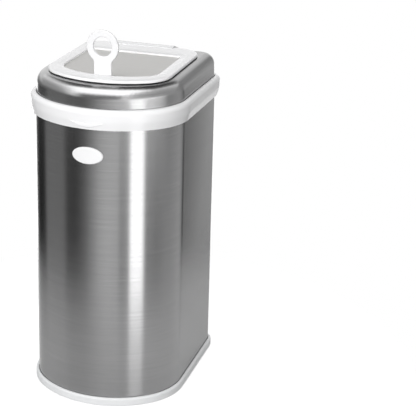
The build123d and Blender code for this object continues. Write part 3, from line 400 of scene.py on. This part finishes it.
def screw_tree():
    """A node tree that makes one screw from its sizes and sets it on a grid."""
    tree = bpy.data.node_groups.new("screw_grid", "GeometryNodeTree")
    for name in SCREW_SIZES:
        tree.interface.new_socket(name, in_out="INPUT", socket_type="NodeSocketFloat")
    tree.interface.new_socket("Material", in_out="INPUT", socket_type="NodeSocketMaterial")
    tree.interface.new_socket("Geometry", in_out="OUTPUT", socket_type="NodeSocketGeometry")
    sizes = node(tree, "NodeGroupInput").outputs

    def calc(operation, first, second=0.0, third=0.0):
        settings = {"operation": operation, "use_clamp": operation == "MULTIPLY_ADD"}
        return node(tree, "ShaderNodeMath", settings, i0=first, i1=second, i2=third).outputs[0]

    def vector(x=0.0, y=0.0, z=0.0):
        return node(tree, "ShaderNodeCombineXYZ", X=x, Y=y, Z=z).outputs[0]

    def moved(geometry, offset):
        made = node(tree, "GeometryNodeTransform", Geometry=geometry, Translation=offset)
        return made.outputs["Geometry"]

    radius, height, edge = sizes["Head radius"], sizes["Head height"], sizes["Head edge"]
    blank = node(
        tree, "GeometryNodeMeshCylinder", Vertices=HEAD_SIDES, Side_Segments=HEAD_RINGS,
        Radius=radius, Depth=height,
    ).outputs["Mesh"]
    # Each ring of the blank rises to its height on the head, and draws in round the edge.
    position = node(tree, "GeometryNodeInputPosition").outputs[0]
    place = node(tree, "ShaderNodeSeparateXYZ", i0=position)
    share = calc("ADD", calc("DIVIDE", place.outputs["Z"], height), 0.5)
    below = calc("MULTIPLY_ADD", share, 1 / STRAIGHT_SHARE)
    beyond = calc(
        "MULTIPLY_ADD", share, 1 / (1 - STRAIGHT_SHARE), -STRAIGHT_SHARE / (1 - STRAIGHT_SHARE)
    )
    angle = calc("MULTIPLY", beyond, math.pi / 2)
    straight = calc("MULTIPLY", below, calc("SUBTRACT", height, edge))
    rise = calc("ADD", straight, calc("MULTIPLY", edge, calc("SINE", angle)))
    round_edge = calc("MULTIPLY", edge, calc("COSINE", angle))
    reach = calc("ADD", calc("SUBTRACT", radius, edge), round_edge)
    draw = calc("DIVIDE", reach, radius)
    ring = vector(
        calc("MULTIPLY", place.outputs["X"], draw), calc("MULTIPLY", place.outputs["Y"], draw), rise
    )
    head = node(tree, "GeometryNodeSetPosition", Geometry=blank, Position=ring).outputs["Geometry"]
    # The cross recess is cut by two bars laid on the head's top.
    length, width = sizes["Recess length"], sizes["Recess width"]
    deep = calc("MULTIPLY", sizes["Recess depth"], 2.0)
    exact = {"solver": "EXACT"}
    cut = node(tree, "GeometryNodeMeshBoolean", {"operation": "DIFFERENCE", **exact}, i0=head)
    for size in (vector(length, width, deep), vector(width, length, deep)):
        bar = node(tree, "GeometryNodeMeshCube", Size=size).outputs["Mesh"]
        tree.links.new(moved(bar, vector(z=height)), cut.inputs[1])
    # The shank ends inside the head, half way up its straight rim.
    root = calc("MULTIPLY", calc("SUBTRACT", height, edge), 0.5)
    shank = node(
        tree, "GeometryNodeMeshCylinder", Vertices=SHANK_SIDES, Radius=sizes["Shank radius"],
        Depth=calc("ADD", sizes["Shank length"], root),
    ).outputs["Mesh"]
    middle = calc("MULTIPLY", calc("SUBTRACT", root, sizes["Shank length"]), 0.5)
    screw = node(tree, "GeometryNodeMeshBoolean", {"operation": "UNION", **exact})
    tree.links.new(cut.outputs["Mesh"], screw.inputs[1])
    tree.links.new(moved(shank, vector(z=middle)), screw.inputs[1])
    grid = node(
        tree, "GeometryNodeMeshGrid", Size_X=sizes["Spacing across"], Size_Y=sizes["Spacing up"],
        Vertices_X=2, Vertices_Y=2,
    ).outputs["Mesh"]
    instances = node(
        tree, "GeometryNodeInstanceOnPoints", Points=grid, Instance=screw.outputs[0]
    ).outputs["Instances"]
    # The grid stands up against the plate, heads to the rear.
    stood = node(
        tree, "GeometryNodeTransform", Geometry=instances, Rotation=(-math.pi / 2, 0, 0),
        Translation=[c * MM for c in SCREW_PLACE],
    ).outputs["Geometry"]
    real = node(tree, "GeometryNodeRealizeInstances", Geometry=stood).outputs["Geometry"]
    coated = node(
        tree, "GeometryNodeSetMaterial", Geometry=real, Material=sizes["Material"]
    ).outputs["Geometry"]
    node(tree, "NodeGroupOutput", i0=coated)
    return tree


def make_screws(name, new_name, material):
    """The bracket's screws, made by the node tree and kept as a plain mesh."""
    made = bpy.data.objects.new(new_name, bpy.data.meshes.new(new_name))
    bpy.context.scene.collection.objects.link(made)
    modifier = made.modifiers.new("screws", "NODES")
    modifier.node_group = screw_tree()
    for item in modifier.node_group.interface.items_tree:
        if item.in_out == "INPUT":
            size = SCREW_SIZES.get(item.name)
            modifier[item.identifier] = material if size is None else size * MM
    keep_result(made)
    made.data.materials.clear()
    made.data.materials.append(material)
    shade_smooth(made)
    stand_in(made, name)


make_screws("bracket_screws", "made_bracket_screws", zinc)

for node_name in sorted(set(frame["nodes"]) - {"bracket_screws"}):
    finish = OWN_FINISHES.get(node_name, FINISHES[SLOT_OF[node_name]])
    smooth_copy(node_name, "made_" + node_name, finish)

# ---- Floor, world and light ------------------------------------------------------------

FLOOR_RADIUS = 0.62
FLOOR_SIDES = 96
# How pale the floor is to the steel and how pale it is to matt surfaces, on which it throws
# less light, and the glow that brings it near to white for the camera.
FLOOR_TO_STEEL, FLOOR_TO_MATT, FLOOR_GLOW = 0.80, 0.45, 0.55
# By the distance from the middle, in metres: how far the floor is gone for the steel, and
# how far the camera sees plain white in place of its shadow.
FLOOR_FADE = ((0.20, 0.15), (0.30, 0.24), (0.46, 0.38), (0.60, 0.85))
SHADOW_FADE = ((0.26, 0.0), (0.48, 1.0))


def make_floor():
    """A round pale floor; the camera sees it nearly white, and it keeps a soft shadow. The
    steel mirrors it less and less towards its edge."""
    form = bmesh.new()
    bmesh.ops.create_circle(form, cap_ends=True, segments=FLOOR_SIDES, radius=FLOOR_RADIUS)
    mesh = bpy.data.meshes.new("floor")
    form.to_mesh(mesh)
    form.free()
    material, tree = new_material("floor")
    path = node(tree, "ShaderNodeLightPath")
    level = node(
        tree, "ShaderNodeMapRange", Value=path.outputs["Is Diffuse Ray"],
        To_Min=FLOOR_TO_STEEL, To_Max=FLOOR_TO_MATT,
    ).outputs["Result"]
    diffuse = node(tree, "ShaderNodeBsdfDiffuse", Color=level)
    glow = node(tree, "ShaderNodeEmission", Color=(1, 1, 1, 1), Strength=FLOOR_GLOW)
    both = node(tree, "ShaderNodeAddShader", i0=diffuse.outputs[0], i1=glow.outputs[0])
    place = node(tree, "ShaderNodeTexCoord").outputs["Object"]
    reach = node(tree, "ShaderNodeVectorMath", {"operation": "LENGTH"}, i0=place)
    white = node(tree, "ShaderNodeEmission", Color=(1, 1, 1, 1), Strength=1.0)
    open_floor = node(
        tree, "ShaderNodeMixShader", i0=ramp(tree, reach.outputs["Value"], SHADOW_FADE),
        i1=both.outputs[0], i2=white.outputs[0],
    )
    mix = node(
        tree, "ShaderNodeMixShader", i0=path.outputs["Is Camera Ray"], i1=diffuse.outputs[0],
        i2=open_floor.outputs[0],
    )
    faded = ramp(tree, reach.outputs["Value"], FLOOR_FADE)
    hidden = node(
        tree, "ShaderNodeMath", {"operation": "MULTIPLY"}, i0=faded,
        i1=path.outputs["Is Glossy Ray"],
    ).outputs[0]
    clear = node(tree, "ShaderNodeBsdfTransparent").outputs[0]
    shown = node(tree, "ShaderNodeMixShader", i0=hidden, i1=mix.outputs[0], i2=clear)
    node(tree, "ShaderNodeOutputMaterial", i0=shown.outputs[0])
    mesh.materials.append(material)
    floor = bpy.data.objects.new("floor", mesh)
    bpy.context.scene.collection.objects.link(floor)


# What gloss mirrors of the studio, as tables of brightness, where 1 is white.
#
# Well below the horizon, by azimuth in degrees from the front, positive to the viewer's
# right: dark studio walls, a pale patch at the front, a soft box to the right of it and pale
# screens at the back that light the object's rims.
WALLS = (
    (-180, 2.20), (-137, 2.20), (-132, 0.20), (-116, 0.01), (-96, 0.01), (-91, 0.31),
    (-60, 0.28), (-51, 0.01), (-39, 0.01), (-26, 0.20), (-14, 0.58), (-6, 0.84), (4, 0.94),
    (18, 0.76), (22, 0.30), (33, 0.30), (35.5, 3.20), (51.5, 3.20), (54, 0.04), (62, 0.08),
    (76, 0.08), (88, 0.24), (100, 0.45), (138, 0.62), (151, 0.40), (153, 0.01), (161, 0.01),
    (164.5, 0.62), (170, 0.95), (180, 1.90),
)
# Just below the horizon, where the dome's leaning side looks, by azimuth: a wide screen to
# the right of the front.
SCREENS = (
    (-180, 0.95), (-146, 1.00), (-130, 0.24), (-28, 0.24), (-12, 0.32), (4, 0.74), (20, 1.50),
    (36, 2.30), (52, 2.80), (68, 2.50), (84, 1.75), (100, 0.50), (132, 0.57), (148, 0.34),
    (158, 0.57), (180, 0.95),
)
# Above the horizon, by the angle from the front over the top to the back: a wide soft box
# overhead, then a dark gap.
OVERHEAD = (
    (0, 0.30), (33, 0.30), (43, 2.20), (50, 2.90), (95, 2.90), (103, 0.25), (112, 0.05),
    (146, 0.08), (152, 0.90), (180, 0.90),
)
# Beside the soft box, by the share of the direction that points to the right.
FLANKS = (
    (-1, 0.60), (-0.85, 0.70), (-0.68, 1.70), (-0.5, 2.40), (0.3, 2.20), (0.43, 1.50),
    (0.53, 1.05), (0.63, 0.80), (0.9, 0.60), (1, 0.60),
)
# Low at the back, by azimuth: a pale wall behind to the left, a grey one to the right.
BACKDROP = (
    (-180, 1.05), (-168, 1.05), (-160, 1.10), (-130, 1.10), (-110, 0.80), (110, 0.70),
    (150, 0.40), (168, 0.42), (176, 0.95), (180, 1.05),
)
# The level that the tables are measured against, because a ramp holds no more than 1.
BRIGHTEST = 3.2
# How one region passes into the next. The flanks take over from the soft box by the share
# that points to the right, moved from -1..1 to 0..1. The backdrop takes over by the share of
# the half turn over the top. The screens take over from the walls by the height, moved in the
# same way, and all that is above the horizon by the height as it is.
BESIDE = ((0.15, 1.0), (0.25, 0.0), (0.65, 0.0), (0.72, 1.0))
AT_BACK = ((0.828, 0.0), (0.85, 1.0))
SCREEN_LEVEL = ((0.382, 0.0), (0.405, 1.0))
ABOVE = ((0.0, 0.0), (0.14, 1.0))
# The even light that the world throws on matt surfaces.
EVEN_LIGHT = 0.30


def make_world():
    """White for the camera, even and pale for matt surfaces, and the studio for gloss."""
    world = bpy.data.worlds.new("studio")
    bpy.context.scene.world = world
    world.use_nodes = True
    tree = world.node_tree
    tree.nodes.clear()
    direction = node(tree, "ShaderNodeTexCoord").outputs["Generated"]
    split = node(tree, "ShaderNodeSeparateXYZ", Vector=direction)
    height = split.outputs["Z"]
    forward = node(
        tree, "ShaderNodeMath", {"operation": "MULTIPLY"}, i0=split.outputs["Y"], i1=-1.0
    ).outputs[0]
    azimuth = node(
        tree, "ShaderNodeMath", {"operation": "ARCTAN2"}, i0=split.outputs["X"], i1=forward
    ).outputs[0]
    over = node(
        tree, "ShaderNodeMath", {"operation": "ARCTAN2"}, i0=height, i1=forward
    ).outputs[0]
    turn = node(
        tree, "ShaderNodeMapRange", Value=azimuth, From_Min=-math.pi, From_Max=math.pi
    ).outputs["Result"]
    rise = node(
        tree, "ShaderNodeMapRange", Value=over, From_Min=0.0, From_Max=math.pi
    ).outputs["Result"]

    def shares(stops, start, length):
        return [((place - start) / length, level / BRIGHTEST) for place, level in stops]

    def round_about(stops):
        return ramp(tree, turn, shares(stops, -180, 360))

    def blend(factor, first, second):
        mixed = node(tree, "ShaderNodeMix", {"data_type": "RGBA"}, i0=factor, i6=first, i7=second)
        return mixed.outputs[2]

    across = node(
        tree, "ShaderNodeMapRange", Value=split.outputs["X"], From_Min=-1.0, From_Max=1.0
    ).outputs["Result"]
    depth = node(
        tree, "ShaderNodeMapRange", Value=height, From_Min=-1.0, From_Max=1.0
    ).outputs["Result"]
    overhead = ramp(tree, rise, shares(OVERHEAD, 0, 180))
    flanks = ramp(tree, across, shares(FLANKS, -1, 2))
    roof = blend(ramp(tree, across, BESIDE), overhead, flanks)
    high = blend(ramp(tree, rise, AT_BACK), roof, round_about(BACKDROP))
    low = blend(ramp(tree, depth, SCREEN_LEVEL), round_about(WALLS), round_about(SCREENS))
    studio = blend(ramp(tree, height, ABOVE), low, high)
    gloss = node(tree, "ShaderNodeBackground", Color=studio, Strength=BRIGHTEST)
    even = node(tree, "ShaderNodeBackground", Color=(1, 1, 1, 1), Strength=EVEN_LIGHT)
    white = node(tree, "ShaderNodeBackground", Color=(1, 1, 1, 1), Strength=1.0)
    path = node(tree, "ShaderNodeLightPath")
    lit = node(
        tree, "ShaderNodeMixShader", i0=path.outputs["Is Glossy Ray"], i1=even.outputs[0],
        i2=gloss.outputs[0],
    )
    seen = node(
        tree, "ShaderNodeMath", {"operation": "MAXIMUM"}, i0=path.outputs["Is Camera Ray"],
        i1=path.outputs["Is Transmission Ray"],
    )
    final = node(
        tree, "ShaderNodeMixShader", i0=seen.outputs[0], i1=lit.outputs[0],
        i2=white.outputs[0],
    )
    node(tree, "ShaderNodeOutputWorld", i0=final.outputs[0])


def make_light(name, place, aim, size, watts):
    """A square soft box at place, pointed at aim. Gloss mirrors the studio instead of it."""
    data = bpy.data.lights.new(name, "AREA")
    data.shape = "SQUARE"
    data.size = size
    data.energy = watts
    lamp = bpy.data.objects.new(name, data)
    bpy.context.scene.collection.objects.link(lamp)
    lamp.location = place
    lamp.rotation_euler = (Vector(aim) - Vector(place)).to_track_quat("-Z", "Y").to_euler()
    lamp.visible_glossy = False


make_camera()
make_floor()
make_world()
make_light("key", (-0.3, -2.4, 1.3), (0, 0, 0.3), 1.4, 49.0)
make_light("fill", (2.0, -1.6, 1.4), (0, 0, 0.3), 1.6, 18.0)
make_light("rear", (-0.2, 2.4, 0.8), (0, 0, 0.3), 1.6, 36.0)
make_light("top", (0.0, 0.3, 2.6), (0, 0, 0.4), 1.6, 10.0)

bpy.context.scene.view_settings.view_transform = "Standard"
